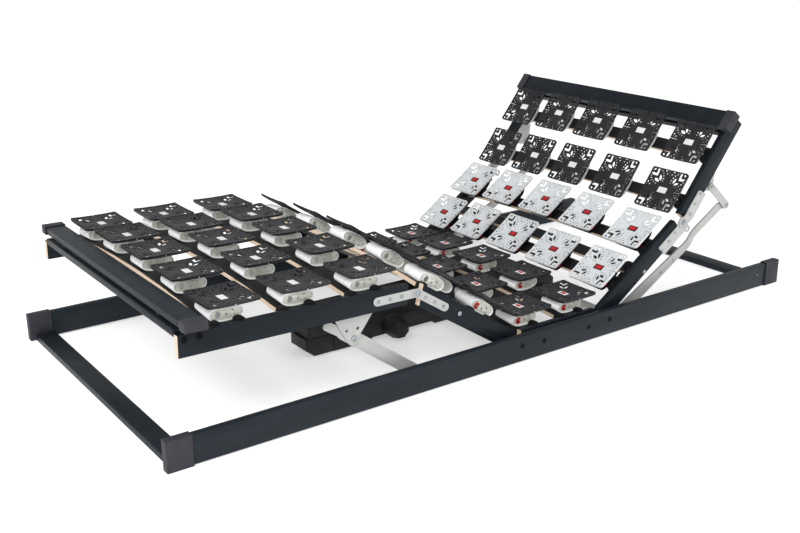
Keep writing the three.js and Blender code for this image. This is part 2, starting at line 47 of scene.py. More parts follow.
BASE_END, BASE_SIDE = 1000, 450
BASE_RAIL_INNER, BASE_RAIL_OUTER, BASE_RAIL_REACH = 429.5, 447.5, 996.7
THIGH_BOLT_X, BACK_BOLT_X, BOLT_Z, BOLT_HOLE = -30, 281, 42, 6.8
SEAT_SPACERS_X = (42, 200)
THIGH_LENGTH, CALF_LENGTH, BACK_LENGTH, HEAD_LENGTH = 368, 602, 369, 337
RAIL_INNER, RAIL_OUTER, RAIL_HALF = 394, 410, 25
FOOT_BAR = {"x0": -595, "x1": -546, "bottom": 39, "top": 57, "spacer_x": -586, "spacer_foot": 33.3}
HEAD_BAR = {"x0": 280, "x1": 330, "bottom": 34.3, "top": 59, "spacer_x": 289, "spacer_foot": 25.3}
BAR_HALF, BAR_CAP_INNER, BAR_CAP_END, BAR_CAP_OVER = 435, 409, 438, 2.2
SPACER_RADIUS, SPACER_Y = 8, 290
FOOT_CROSS = {"middle": -592.5, "bottom": 17, "top": 33}
HEAD_CROSS = {"middle": 286, "bottom": 0, "top": 25}
CROSS_HALF, CROSS_THICK = 391, 18
COLUMNS = (-347, -173.5, 0, 173.5, 347)
BOW_RISE, BOW_HALF = 19, 390
SLAT_TOP, SLAT_THICK, SLAT_HALF = 21, 10, 388
PLATE_Z = 57
PLATE_X, PLATE_Y, PLATE_CURL = 62, 64, 9
SLIT_HALF, SLIT_LONG = 0.8, 23
SPRING_HIGH, SPRING_REACH, SPRING_SHIFT, BAND_HALF = PLATE_Z - SLAT_TOP, 41, -9, 34
ROLLER_X = -19
KNEE_STRAP_HALF = 10.5
FIRST, SECOND = (410.3, 413.3), (413.6, 416.6)  # two layers of sheet steel outside the rails
LEG_END = 414  # the outside of the straps and blades that lie on a rail beside a lobe
LEVER_INNER, LEVER_OUTER = 384.4, 390.4
BRACKET_INNER, BRACKET_OUTER = 390.7, 393.7
LEG_LEVER_TIP, LEG_SLOT, LEG_SLOT_HALF = 319, (236, 264), 8.6
BACK_LEVER_LENGTH, BACK_LEVER_EYE = 505.3, 9.2
LINK_LENGTH = 98.3
PIN_RADIUS, PIN_HOLE, PIN_HEAD = 5, 5.4, 8
RIVET_HIGH = 1.6
HEAD_PIN = (144, -56.8)
LEG_PIN = (-164, -83.3)
SHAFTS = {"leg": (-310, 20), "back": (350, 18)}
SHAFT_RADIUS, STUB_RADIUS = 13, 6
DRIVE_HALF = 112

# How far each part is turned as drawn, in degrees.
THIGH_UP, KNEE_DOWN, BACK_UP, NECK_UP = 33, 32, 35, 17
LEG_LEVER_TURN, BACK_LEVER_TURN, LINK_TURN = 36.2, -29.47, 3.9


def turned(x, z, degrees):
    """A frame at (x, z) in millimetres, turned about Y."""
    return Matrix.Translation((x * MM, 0, z * MM)) @ Matrix.Rotation(math.radians(degrees), 4, "Y")


SECTION = {"base": Matrix.Identity(4), "seat": turned(0, BOLT_Z, 0)}
SECTION["thigh"] = turned(THIGH_BOLT_X, BOLT_Z, THIGH_UP)
SECTION["calf"] = SECTION["thigh"] @ turned(-THIGH_LENGTH, 0, -KNEE_DOWN)
SECTION["back"] = turned(BACK_BOLT_X, BOLT_Z, -BACK_UP)
SECTION["head"] = SECTION["back"] @ turned(BACK_LENGTH, 0, -NECK_UP)
SECTION["leg_lift"] = turned(*SHAFTS["leg"], LEG_LEVER_TURN)
SECTION["back_lift"] = turned(*SHAFTS["back"], BACK_LEVER_TURN)
SECTION["link_near"] = SECTION["head"] @ turned(*HEAD_PIN, LINK_TURN)
SECTION["link_far"] = SECTION["link_near"]
BODY = {name: name for name in SECTION}
BODY["seat"] = "base"

# ---- materials ------------------------------------------------------------------------------------

DRAWN = "drawn_at"  # the attribute that keeps each vertex's place in its own section's frame
SHARP_ANGLE = math.radians(35)


def srgb(code):
    """A hex colour as linear RGBA."""
    values = [int(code[i:i + 2], 16) / 255 for i in (0, 2, 4)]
    return tuple(v / 12.92 if v < 0.04045 else ((v + 0.055) / 1.055) ** 2.4 for v in values) + (1.0,)


class Paint:
    """A material under construction: its node tree and its Principled shader."""

    def __init__(self, name, **sockets):
        self.material = bpy.data.materials.new(name)
        self.material.use_nodes = True
        self.tree = self.material.node_tree
        self.shader = self.tree.nodes["Principled BSDF"]
        for socket, value in sockets.items():
            self.shader.inputs[socket.replace("_", " ")].default_value = value
        place = self.tree.nodes.new("ShaderNodeAttribute")
        place.attribute_name = DRAWN
        self.coords = place.outputs["Vector"]

    def link(self, source, target):
        self.tree.links.new(source, target)

    def mapped(self, scale):
        node = self.tree.nodes.new("ShaderNodeMapping")
        node.inputs["Scale"].default_value = scale
        self.link(self.coords, node.inputs["Vector"])
        return node.outputs["Vector"]

    def noise(self, scale, detail, stretch=(1, 1, 1)):
        node = self.tree.nodes.new("ShaderNodeTexNoise")
        node.inputs["Scale"].default_value = scale
        node.inputs["Detail"].default_value = detail
        self.link(self.mapped(stretch), node.inputs["Vector"])
        return node.outputs["Fac"]

    def wave(self, scale, direction, distortion):
        node = self.tree.nodes.new("ShaderNodeTexWave")
        node.bands_direction = direction
        node.inputs["Scale"].default_value = scale
        node.inputs["Distortion"].default_value = distortion
        self.link(self.coords, node.inputs["Vector"])
        return node.outputs["Fac"]

    def ramp(self, source, stops):
        node = self.tree.nodes.new("ShaderNodeValToRGB")
        ramp = node.color_ramp
        while len(ramp.elements) < len(stops):
            ramp.elements.new(0.5)
        for element, (place, colour) in zip(ramp.elements, stops):
            element.position = place
            element.color = colour
        self.link(source, node.inputs["Fac"])
        return node.outputs["Color"]

    def level(self, source, low, high):
        """The 0 to 1 source spread between two values."""
        node = self.tree.nodes.new("ShaderNodeMapRange")
        node.inputs["To Min"].default_value = low
        node.inputs["To Max"].default_value = high
        self.link(source, node.inputs["Value"])
        return node.outputs["Result"]

    def colour(self, source, dark, light):
        """The shader's colour, mottled between two hex colours."""
        stops = [(0.3, srgb(dark)), (0.7, srgb(light))]
        self.link(self.ramp(source, stops), self.shader.inputs["Base Color"])
        return self

    def rough(self, source, low, high):
        self.link(self.level(source, low, high), self.shader.inputs["Roughness"])
        return self

    def bump(self, source, height):
        """Relief of a height in millimetres."""
        node = self.tree.nodes.new("ShaderNodeBump")
        node.inputs["Distance"].default_value = height * MM
        self.link(source, node.inputs["Height"])
        self.link(node.outputs["Normal"], self.shader.inputs["Normal"])
        return self


def foil_material(name, dark, light):
    paint = Paint(name, Specular_IOR_Level=0.14)
    paint.colour(paint.noise(7, 4, (1, 4, 4)), dark, light)
    paint.rough(paint.noise(90, 3), 0.34, 0.5)
    return paint.bump(paint.noise(420, 2), 0.05).material


def plywood_material(name="plywood", along="Y", scale=110):
    paint = Paint(name, Specular_IOR_Level=0.2)
    plies = paint.wave(scale, along, 0.6)
    stops = [(0.1, srgb("cbab8a")), (0.35, srgb("e4cdb4")), (0.8, srgb("eedcc8"))]
    paint.link(paint.ramp(plies, stops), paint.shader.inputs["Base Color"])
    paint.rough(paint.noise(300, 2), 0.6, 0.8)
    return paint.bump(plies, 0.12).material


def plastic_material(name, dark, light, rough=(0.4, 0.55), grain=700, height=0.03, gloss=0.3, **sockets):
    paint = Paint(name, Specular_IOR_Level=gloss, **sockets)
    paint.colour(paint.noise(25, 3), dark, light)
    paint.rough(paint.noise(60, 3), *rough)
    return paint.bump(paint.noise(grain, 2), height).material


def steel_material():
    paint = Paint("light_powder_coat", Specular_IOR_Level=0.4)
    paint.colour(paint.noise(18, 3), "acaeab", "b9bab7")
    paint.rough(paint.noise(80, 2), 0.3, 0.42)
    return paint.bump(paint.noise(520, 2), 0.05).material


def zinc_material():
    paint = Paint("zinc", Metallic=1.0)
    paint.colour(paint.noise(140, 3), "7c8187", "a9adb2")
    paint.rough(paint.noise(200, 3), 0.25, 0.42)
    return paint.bump(paint.noise(900, 2), 0.02).material


def slat_material():
    paint = Paint("slat_foil", Specular_IOR_Level=0.25)
    paint.colour(paint.noise(14, 5, (9, 1, 1)), "161618", "222224")
    paint.rough(paint.noise(80, 3, (6, 1, 1)), 0.42, 0.58)
    return paint.bump(paint.noise(260, 3, (5, 1, 1)), 0.06).material


MATERIAL = {
    "foil": foil_material("dark_foil", "12181e", "1a2127"),
    # A lighter copy of the same dark foil, with painted light in its colour, for the base frame and the
    # foot bar.
    "foil_painted_lit": foil_material("foil_painted_lit", "1b2127", "242a30"),
    "plywood": plywood_material(),
    "slat_edge": plywood_material("slat_edge", "Z", 90),
    "slat": slat_material(),
    "cap": plastic_material("grey_cap", "303037", "39393f", (0.5, 0.65), 500, 0.06, 0.2),
    "plug": plastic_material("black_plug", "060607", "0c0c0d", (0.6, 0.8), 500, 0.05, 0.1),
    "steel": steel_material(),
    "zinc": zinc_material(),
    "black_plate": plastic_material("black_plate", "1a1a1e", "242428", (0.34, 0.5), gloss=0.3),
    "white_plate": plastic_material("white_plate", "cdd0d2", "d9dcde", (0.4, 0.55)),
    # The white springs glow faintly (emission): painted light that lightens them in the shade under the
    # plates.
    "white_spring_glowing": plastic_material("white_spring_glowing", "eceeee", "f6f7f6", (0.35, 0.5), 300, 0.05,
                                     Emission_Color=(0.95, 0.97, 1, 1), Emission_Strength=0.06),
    # The spring's side wall is a greyer copy of the spring white, which is painted shade from the plate
    # above it, and it glows faintly: painted light.
    "web": plastic_material("spring_web_shaded_glowing", "c9cabf", "e4e5dc", (0.3, 0.5), 130, 0.5, 0.4,
                            Subsurface_Weight=0.3, Subsurface_Radius=(0.006, 0.006, 0.005),
                            Emission_Color=(1, 1, 0.95, 1), Emission_Strength=0.03),
    "black_spring": plastic_material("black_spring", "101012", "1a1a1c", (0.4, 0.55)),
    "red": plastic_material("red_insert", "b00d18", "c81620", (0.35, 0.5)),
    "insert_white": plastic_material("white_insert", "dcdede", "eaebeb", (0.35, 0.5)),
    "rubber": plastic_material("black_rubber", "0f0f10", "181819", (0.55, 0.75), 400, 0.08, 0.2),
    "drive": plastic_material("black_drive_case", "1b1a1c", "252426", (0.45, 0.62), 450, 0.08, 0.3),
}

# ---- mesh tools: everything is drawn in millimetres in its section's frame -------------------------


def arc(x, z, radius, start, stop, steps=12):
    """Points on an arc about (x, z), between two angles in degrees."""
    angles = [math.radians(start + (stop - start) * i / steps) for i in range(steps + 1)]
    return [(x + radius * math.cos(a), z + radius * math.sin(a)) for a in angles]


def round_hole(x, z, radius, steps=16):
    """The outline of a round hole."""
    return arc(x, z, radius, 360, 0, steps)[:-1]


def capsule(a, b, radius):
    """The outline of a bar with round ends at two points."""
    heading = math.degrees(math.atan2(b[1] - a[1], b[0] - a[0]))
    return arc(*b, radius, heading - 90, heading + 90) + arc(*a, radius, heading + 90, heading + 270)


def rectangle(half_x, half_y):
    return [(-half_x, -half_y), (half_x, -half_y), (half_x, half_y), (-half_x, half_y)]


def flat_mesh(outline, holes, thick, bevel):
    """A sheet cut to an outline with holes, lying in XY, its thickness centred on z = 0."""
    curve = bpy.data.curves.new("outline", "CURVE")
    curve.dimensions = "2D"
    curve.fill_mode = "BOTH"
    curve.extrude = thick / 2 - bevel
    curve.bevel_depth = bevel
    curve.bevel_resolution = 1
    curve.offset = -bevel
    for ring in (outline, *holes):
        spline = curve.splines.new("POLY")
        spline.points.add(len(ring) - 1)
        for point, (x, y) in zip(spline.points, ring):
            point.co = (x, y, 0, 1)
        spline.use_cyclic_u = True
    obj = bpy.data.objects.new("outline", curve)
    bpy.context.scene.collection.objects.link(obj)
    made = bpy.data.meshes.new_from_object(obj.evaluated_get(bpy.context.evaluated_depsgraph_get()))
    bpy.data.objects.remove(obj)
    bpy.data.curves.remove(curve)
    bm = bmesh.new()
    bm.from_mesh(made)
    bpy.data.meshes.remove(made)
    bmesh.ops.remove_doubles(bm, verts=bm.verts, dist=1e-4)
    bmesh.ops.recalc_face_normals(bm, faces=bm.faces)
    return bm


UPRIGHT = Matrix.Rotation(math.pi / 2, 4, "X")  # a sheet's outline (x, y) becomes (x, z)


def slab(outline, y0, y1, holes=(), bevel=0.4):
    """A side view outline of (x, z) points, given thickness along Y from y0 to y1."""
    bm = flat_mesh(outline, holes, abs(y1 - y0), bevel)
    bm.transform(Matrix.Translation((0, (y0 + y1) / 2, 0)) @ UPRIGHT)
    return bm


def round_edges(bm, edges, radius, segments=2):
    bmesh.ops.bevel(bm, geom=edges, offset=radius, segments=segments, affect="EDGES", profile=0.5)


def block(x0, x1, y0, y1, z0, z1, bevel, segments=2):
    """A box with rounded edges."""
    bm = bmesh.new()
    centre = Matrix.Translation(((x0 + x1) / 2, (y0 + y1) / 2, (z0 + z1) / 2))
    size = Matrix.Diagonal((abs(x1 - x0), abs(y1 - y0), abs(z1 - z0), 1))
    bmesh.ops.create_cube(bm, size=1.0, matrix=centre @ size)
    if bevel:
        round_edges(bm, list(bm.edges), bevel, segments)
    return bm


def lathe(profile, steps=24):
    """A turned solid about Z from (radius, z) points that start and end on the axis."""
    bm = bmesh.new()
    rings = []
    for radius, z in profile:
        if radius < 1e-6:
            rings.append([bm.verts.new((0, 0, z))])
            continue
        turns = [2 * math.pi * i / steps for i in range(steps)]
        rings.append([bm.verts.new((radius * math.cos(t), radius * math.sin(t), z)) for t in turns])
    for low, high in zip(rings, rings[1:]):
        for i in range(steps):
            j = (i + 1) % steps
            corners = [low[i % len(low)], low[j % len(low)], high[j % len(high)], high[i % len(high)]]
            bm.faces.new(list(dict.fromkeys(corners)))
    bmesh.ops.recalc_face_normals(bm, faces=bm.faces)
    return bm


def knob(radius, height, x, z, y, side, dome=0.35):
    """A low domed head whose foot is at y, standing outwards on that side of the bed."""
    edge = radius * 0.12
    bm = lathe([(0, 0), (radius, 0), (radius, height * (1 - dome)), (radius - edge, height * 0.92),
                (radius * 0.4, height), (0, height)])
    bm.transform(Matrix.Translation((x, y, z)) @ Matrix.Rotation(-side * math.pi / 2, 4, "X"))
    return bm


def rod(x, z, radius, y0, y1, steps=32):
    """A round bar along Y, with chamfered ends."""
    low, high = sorted((y0, y1))
    chamfer = 0.6
    bm = lathe([(0, low), (radius - chamfer, low), (radius, low + chamfer), (radius, high - chamfer),
                (radius - chamfer, high), (0, high)], steps)
    bm.transform(Matrix.Translation((x, 0, z)) @ Matrix.Rotation(-math.pi / 2, 4, "X"))
    return bm


def merged(*parts):
    """Several bmeshes as one. Each part may be (bmesh, material index)."""
    whole = bmesh.new()
    for part in parts:
        bm, index = part if isinstance(part, tuple) else (part, None)
        if index is not None:
            for face in bm.faces:
                face.material_index = index
        mesh = bpy.data.meshes.new("part")
        bm.to_mesh(mesh)
        bm.free()
        whole.from_mesh(mesh)
        bpy.data.meshes.remove(mesh)
    return whole


def copies(bm, matrices):
    """The bmesh repeated under each matrix."""
    mesh = bpy.data.meshes.new("template")
    bm.to_mesh(mesh)
    whole = bmesh.new()
    for matrix in matrices:
        placed = mesh.copy()
        placed.transform(matrix)
        whole.from_mesh(placed)
        bpy.data.meshes.remove(placed)
    bpy.data.meshes.remove(mesh)
    return whole


def keep_places(mesh):
    """Stores where each vertex is now, for the materials to be laid out by."""
    places = [0.0] * (3 * len(mesh.vertices))
    mesh.vertices.foreach_get("co", places)
    mesh.attributes.new(DRAWN, "FLOAT_VECTOR", "POINT").data.foreach_set("vector", places)


def piece(node, bm, section, looks, part="shown"):
    """Puts a drawn bmesh into the scene on its section's body, in place of a CAD node."""
    name = f"{node}_{part}"
    bm.transform(Matrix.Scale(MM, 4))
    mesh = bpy.data.meshes.new(name)
    bm.to_mesh(mesh)
    bm.free()
    keep_places(mesh)
    mesh.transform(SECTION[section])
    for look in looks:
        mesh.materials.append(MATERIAL[look])
    mesh.shade_smooth()
    mesh.set_sharp_from_angle(angle=SHARP_ANGLE)
    obj = bpy.data.objects.new(name, mesh)
    bpy.context.scene.collection.objects.link(obj)
    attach(obj, BODY[section])
    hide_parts(node)


# ---- rails -----------------------------------------------------------------------------------------

HINGE_NOSE = arc(0, 0, 20, 73, -73, 16)


def hinge_end(way):
    """The round hinge end of a rail that runs off along way, as outline points."""
    nose = [(-way * x, z) for x, z in HINGE_NOSE]
    return [(way * 14, RAIL_HALF), *nose, (way * 14, -RAIL_HALF)]


THIGH_OUTLINE = [(25.5 - THIGH_LENGTH, -RAIL_HALF), (8.7 - THIGH_LENGTH, RAIL_HALF), *hinge_end(-1)]
CALF_OUTLINE = [(-CALF_LENGTH, -RAIL_HALF), (-26, -RAIL_HALF), (-23, RAIL_HALF), (-CALF_LENGTH, RAIL_HALF)]
NECK_END = [(-30, -RAIL_HALF), (-30, -13), (-28, -10.5), (-24, -11.5), (-19, -12), (-16, -9), (-15, -2),
            (-19, RAIL_HALF)]
BACK_OUTLINE = [*hinge_end(1), *((BACK_LENGTH + x, z) for x, z in NECK_END)]
HEAD_OUTLINE = [
    (26, -RAIL_HALF), (HEAD_LENGTH, -RAIL_HALF), (HEAD_LENGTH, RAIL_HALF), (12.6, RAIL_HALF),
    (13.5, -6), (16, -9.5), (21, -10), (25.5, -9), (26, -12),
]
SEAT_OUTLINE = [(-6, -RAIL_HALF), (257, -RAIL_HALF), (257, RAIL_HALF), (-6, RAIL_HALF)]


def mark_ends(bm, index):
    """Gives the cut ends of a rail, which face along its length, their own material."""
    bm.normal_update()
    for face in bm.faces:
        if abs(face.normal.y) < 0.4 and abs(face.normal.z) < 0.86:
            face.material_index = index


def section_rail(section, side, name, outline, extras):
    """A rail of one section, drilled for its bolt if it has one."""
    bores = [round_hole(0, 0, BOLT_HOLE, 20)] if section in ("thigh", "back") else []
    bm = slab(outline, side * RAIL_INNER, side * RAIL_OUTER, bores, 0.8)
    mark_ends(bm, 1)
    looks = ["foil", "plywood", "plug", "zinc"]
    piece(f"{section}_rail_{name}", merged(bm, *extras), section, looks)


def rail_extras(section, side):
    """Plugs, screws and spacers outside a section's rail, each with its place among the rail's looks."""
    plug, zinc = 2, 3
    face = side * (RAIL_OUTER - 0.2)
    if section == "calf":
        return [(knob(8, 1.4, x, z, face, side, 0.5), plug) for x, z in ((-587, 14), (-553, 15))]
    if section == "thigh":
        return [(knob(6, 2.4, -214, 2, face, side), zinc)]
    if section == "back":
        return [(knob(6, 2.4, 186, -16, face, side), zinc)]
    if section == "seat":
        return [(rod(x, -2, 12, side * 409.5, side * 429.2), plug) for x in SEAT_SPACERS_X]
    return []


def base_rail(side, name):
    """A side rail of the base frame, with the bolts and spacers that carry the sections."""
    foil, plug, zinc = 0, 1, 2
    inner, outer = side * BASE_RAIL_INNER, side * BASE_RAIL_OUTER
    parts = [(block(-BASE_RAIL_REACH, BASE_RAIL_REACH, inner, outer, 2.5, 70.5, 1.0), foil)]
    for x in (THIGH_BOLT_X, BACK_BOLT_X):
        parts.append((rod(x, BOLT_Z, 11, side * 429, side * 410.3), plug))
        parts.append((rod(x, BOLT_Z, 6, side * 429, side * 391), zinc))
        parts.append((knob(9, 2.9, x, BOLT_Z, side * 393.7, -side), zinc))
    face = side * (BASE_RAIL_OUTER - 0.2)
    for x, z in ((THIGH_BOLT_X - 3, 44), (BACK_BOLT_X - 3, 45), *((x, 40) for x in SEAT_SPACERS_X)):
        parts.append((knob(7, 0.9, x, z, face, side, 0.5), plug))
    parts.append((knob(2.2, 0.7, 902, 42, face, side), zinc))
    # The base rail wears the lighter foil copy, with painted light.
    piece(f"base_rail_{name}", merged(*parts), "base", ["foil_painted_lit", "plug", "zinc"])


def open_cap(x0, x1, y0, y1, z0, z1, wall, way, bevel):
    """A moulded end cap: a rounded box, hollow from the side that faces along way."""
    bm = block(x0, x1, y0, y1, z0, z1, 0)
    bm.normal_update()
    end_wall = 3
    depth = (abs(x1 - x0) if way.x else abs(y1 - y0)) - end_wall
    mouth = max(bm.faces, key=lambda face: face.normal.dot(way))
    bmesh.ops.inset_region(bm, faces=[mouth], thickness=wall)
    pushed = bmesh.ops.extrude_face_region(bm, geom=[mouth])["geom"]
    verts = [item for item in pushed if isinstance(item, bmesh.types.BMVert)]
    bmesh.ops.translate(bm, verts=verts, vec=-way * depth)
    bmesh.ops.delete(bm, geom=[mouth], context="FACES_ONLY")
    corners = [edge for edge in bm.edges if edge.is_manifold and edge.calc_face_angle(0) > 1.0]
    round_edges(bm, corners, bevel, 3)
    return bm


def base_cap(side, end, name):
    """The cap on one end of a base rail."""
    way = Vector((-end, 0, 0))
    bm = open_cap(end * BASE_END, end * 939.6, side * BASE_SIDE, side * 427.8, 0, 73, 1.6, way, 1.0)
    piece(f"base_cap_{name}", bm, "base", ["cap"])


def end_bar(section, name, look, x0, x1, bottom, top, spacer_x, spacer_foot):
    """The bar across the foot or head end, on its two spacers, with its two caps."""
    parts = [(block(x0, x1, -BAR_HALF, BAR_HALF, bottom, top, 1.6, 3), 0)]
    head = bottom + 0.5
    for y in (-SPACER_Y, SPACER_Y):
        post = lathe([(0, spacer_foot), (SPACER_RADIUS, spacer_foot), (SPACER_RADIUS, head), (0, head)])
        post.transform(Matrix.Translation((spacer_x, y, 0)))
        parts.append((post, 1))
    piece(name, merged(*parts), section, [look, "cap"])
    over = BAR_CAP_OVER
    for label, side in SIDES:
        cap = open_cap(x0 - over, x1 + over, side * BAR_CAP_END, side * BAR_CAP_INNER, bottom - over,
                       top + over, 1.8, Vector((0, -side, 0)), 1.2)
        piece(f"{name}_cap_{label}", cap, section, ["cap"])


def cross_rail(section, name, middle, bottom, top):
    """The rail that ties a section's two rails together at its free end."""
    x0, x1 = middle - CROSS_THICK / 2, middle + CROSS_THICK / 2
    bar = block(x0, x1, -CROSS_HALF, CROSS_HALF, bottom, top, 0.8)
    piece(name, bar, section, ["foil"])


for label, side in SIDES:
    base_rail(side, label)
    base_cap(side, -1, f"foot_{label}")
    base_cap(side, 1, f"head_{label}")
    for section, outline in (("seat", SEAT_OUTLINE), ("thigh", THIGH_OUTLINE), ("calf", CALF_OUTLINE),
                             ("back", BACK_OUTLINE), ("head", HEAD_OUTLINE)):
        section_rail(section, side, label, outline, rail_extras(section, side))

for label, end in (("foot", -1), ("head", 1)):
    bar = block(end * 936, end * 986, -427.5, 427.5, 0, 16.5, 1.0)
    # The base cross rails wear the lighter foil copy, with painted light.
    piece(f"base_cross_{label}", bar, "base", ["foil_painted_lit"])

# The foot bar wears the lighter foil copy, with painted light, where the head bar has the plain dark foil.
end_bar("calf", "foot_bar", "foil_painted_lit", **FOOT_BAR)
end_bar("head", "head_bar", "foil", **HEAD_BAR)
cross_rail("calf", "calf_cross_rail", **FOOT_CROSS)
cross_rail("head", "head_cross_rail", **HEAD_CROSS)

# ---- rows of slats, springs and plates -------------------------------------------------------------


def bow(y):
    """How far a slat is bent up at y."""
    return BOW_RISE * (1 - (y / BOW_HALF) ** 2)


def slat(x0, x1, steps=32):
    """A bent wooden slat: dark foil above and below, bare wood on its long edges."""
    edge = 1.2
    section = [(x0, -SLAT_THICK + edge), (x0 + edge, -SLAT_THICK), (x1 - edge, -SLAT_THICK),
               (x1, -SLAT_THICK + edge), (x1, -edge), (x1 - edge, 0), (x0 + edge, 0), (x0, -edge)]
    bm = bmesh.new()
    rings = []
    for i in range(steps + 1):
        y = SLAT_HALF * (2 * i / steps - 1)
        rings.append([bm.verts.new((x, y, SLAT_TOP + bow(y) + z)) for x, z in section])
    for a, b in zip(rings, rings[1:]):
        for i in range(len(section)):
            j = (i + 1) % len(section)
            bm.faces.new((a[i], a[j], b[j], b[i]))
    bm.faces.new(rings[0])
    bm.faces.new(rings[-1])
    bmesh.ops.recalc_face_normals(bm, faces=bm.faces)
    for face in bm.faces:
        if abs(face.normal.x) > 0.5:
            face.material_index = 1
    return bm


def shoe(side, x0, x1):
    """The rubber shoe at a slat's end, with its two humps above the rail."""
    a, b = x0 - 4, x1 + 4
    shoulder, hump_high = 20, 11
    hump = min(14, (b - a) / 4)
    outline = [(a, 10), (b, 10), (b, shoulder), *arc(b - hump, shoulder, hump, 0, 180, 10),
               *arc(a + hump, shoulder, hump, 0, 180, 10)]
    # The humps are flatter than half circles.
    flat = [z if z <= shoulder else shoulder + (z - shoulder) * hump_high / hump for _, z in outline]
    outline = [(x, z) for (x, _), z in zip(outline, flat)]
    return slab(outline, side * 378.5, side * 393.7, bevel=1.2)


def rounded(points, radius, steps=3):
    """A polygon with its corners rounded."""
    ring = []
    count = len(points)
    for i, corner in enumerate(points):
        p = Vector(corner)
        before = Vector(points[i - 1]) - p
        after = Vector(points[(i + 1) % count]) - p
        r = min(radius, before.length / 2.2, after.length / 2.2)
        start = p + before.normalized() * r
        stop = p + after.normalized() * r
        for k in range(steps + 1):
            t = k / steps
            q = start * (1 - t) ** 2 + p * 2 * t * (1 - t) + stop * t * t
            ring.append((q.x, q.y))
    return ring


def laid(points, x, y, degrees):
    """A ring of (along, across) points, laid from (x, y) along degrees."""
    a = math.radians(degrees)
    along, across = Vector((math.cos(a), math.sin(a))), Vector((-math.sin(a), math.cos(a)))
    return [tuple(Vector((x, y)) + along * s + across * w) for s, w in points]


def leaf(x, y, degrees, length, width):
    """A pointed oval that starts at (x, y) and points along degrees."""
    half = []
    steps = 5
    for i in range(steps + 1):
        t = i / steps
        half.append((t * length, width / 2 * math.sin(math.pi * t) ** 0.8))
    ring = half + [(s, -w) for s, w in reversed(half[1:-1])]
    return laid(ring, x, y, degrees)


def bar_hole(x, y, degrees, length, width):
    """A rectangle about (x, y), its length along degrees."""
    return laid(rectangle(length / 2, width / 2), x, y, degrees)


def quadrant_holes():
    """The perforation of one wing of a plate, in its own corner, the same on both sides of the diagonal."""
    holes = [leaf(21.5, 24.5, 68, 20.5, 8.4), leaf(24.5, 21.5, 22, 20.5, 8.4)]
    arm = [(37.2, 37.2), (48, 36.8), (57.6, 38.4), (59.6, 41.6), (57.2, 45.2), (46.5, 43.6)]
    holes.append(rounded(arm + [(y, x) for x, y in reversed(arm[1:])], 1.6, 2))
    holes.append(rounded(bar_hole(54.2, 54.2, -45, 8, 5), 1.4, 2))
    slots = ((14.2, 25.5, 5.4), (14.8, 33.2, 6.5), (17.2, 41.2, 6.5), (21.2, 48.4, 6.4), (27.2, 54, 6.2),
             (33.8, 57.6, 5.2))
    for x, y, length in slots:
        angle = math.degrees(math.atan2(y - 34, x - 34))
        holes.append(bar_hole(x, y, angle, length, 2.6))
        holes.append(bar_hole(y, x, 90 - angle, length, 2.6))
    for x, y, w in ((14.4, 57.8, 5.6), (8.4, 49.6, 4.4), (7.4, 58.4, 3.2)):
        holes.append(rounded(bar_hole(x, y, 38, w, w * 0.8), 0.8, 2))
        holes.append(rounded(bar_hole(y, x, 52, w, w * 0.8), 0.8, 2))
    return holes


def mirrored(ring, sx, sy):
    """A ring mirrored into another quadrant, still wound the same way."""
    ring = [(sx * x, sy * y) for x, y in ring]
    return ring if sx * sy > 0 else ring[::-1]


def straight(a, b):
    """Points from a towards b, without b, about 9 apart."""
    count = max(1, round(math.dist(a, b) / 9))
    return [(a[0] + (b[0] - a[0]) * i / count, a[1] + (b[1] - a[1]) * i / count) for i in range(count)]


def wing_edge(inset):
    """The outer edge of one wing, from the slit in one side round the corner to the slit in the next."""
    a, b, r = PLATE_X - inset, PLATE_Y - inset, 7 - inset
    start = 1.0 + inset
    return [*straight((a, start), (a, b - r)), *arc(a - r, b - r, r, 0, 90, 5),
            *straight((a - r, b), (start, b))[1:], (start, b)]


def plate_outline():
    """The whole plate, with a slit running in from the middle of each side."""
    edge = wing_edge(0)
    ring = []
    for sx, sy in ((1, 1), (-1, 1), (-1, -1), (1, -1)):
        ring.extend(mirrored(edge, sx, sy))
        x, y = ring[-1]
        if abs(x) < abs(y):
            half, depth = math.copysign(SLIT_HALF, x), math.copysign(PLATE_Y - SLIT_LONG, y)
            ring.extend([(half, depth), (-half, depth)])
        else:
            half, depth = math.copysign(SLIT_HALF, y), math.copysign(PLATE_X - SLIT_LONG, x)
            ring.extend([(depth, half), (depth, -half)])
    return ring


def dish(x, y):
    """How far a plate's wings curl up towards their edges, and most at their corners."""
    reach = (((x / PLATE_X) ** 4 + (y / PLATE_Y) ** 4) / 2) ** 0.25
    return PLATE_CURL * reach ** 1.6


def plate():
    """One perforated plate about its centre, its middle standing on z = 0."""
    quadrants = ((1, 1), (1, -1), (-1, 1), (-1, -1))
    holes = [mirrored(hole, sx, sy) for sx, sy in quadrants for hole in quadrant_holes()]
    sheet = flat_mesh(plate_outline(), [*holes, rectangle(9, 15.5)], 2.4, 0.25)
    sheet.transform(Matrix.Translation((0, 0, 1.4)))
    rim = wing_edge(0.1) + wing_edge(1.7)[::-1]
    skirts = []
    for sx, sy in quadrants:
        skirt = flat_mesh(mirrored(rim, sx, sy), (), 6.2, 0.3)
        skirt.transform(Matrix.Translation((0, 0, -0.6)))
        skirts.append(skirt)
    whole = merged(sheet, *skirts)
    # Cuts across the sheet, for the curl to bend it at.
    for place in (-52, -36, -18, 18, 36, 52):
        for normal in ((1, 0, 0), (0, 1, 0)):
            everything = [*whole.verts, *whole.edges, *whole.faces]
            bmesh.ops.bisect_plane(whole, geom=everything, plane_co=Vector(normal) * place, plane_no=normal)
    for vert in whole.verts:
        vert.co.z += dish(vert.co.x, vert.co.y)
    return whole


def small_sheet(half_x, half_y, radius, thick, bevel, z, steps=3):
    """A rectangle with rounded corners, centred at height z."""
    bm = flat_mesh(rounded(rectangle(half_x, half_y), radius, steps), (), thick, bevel)
    bm.transform(Matrix.Translation((0, 0, z)))
    return bm


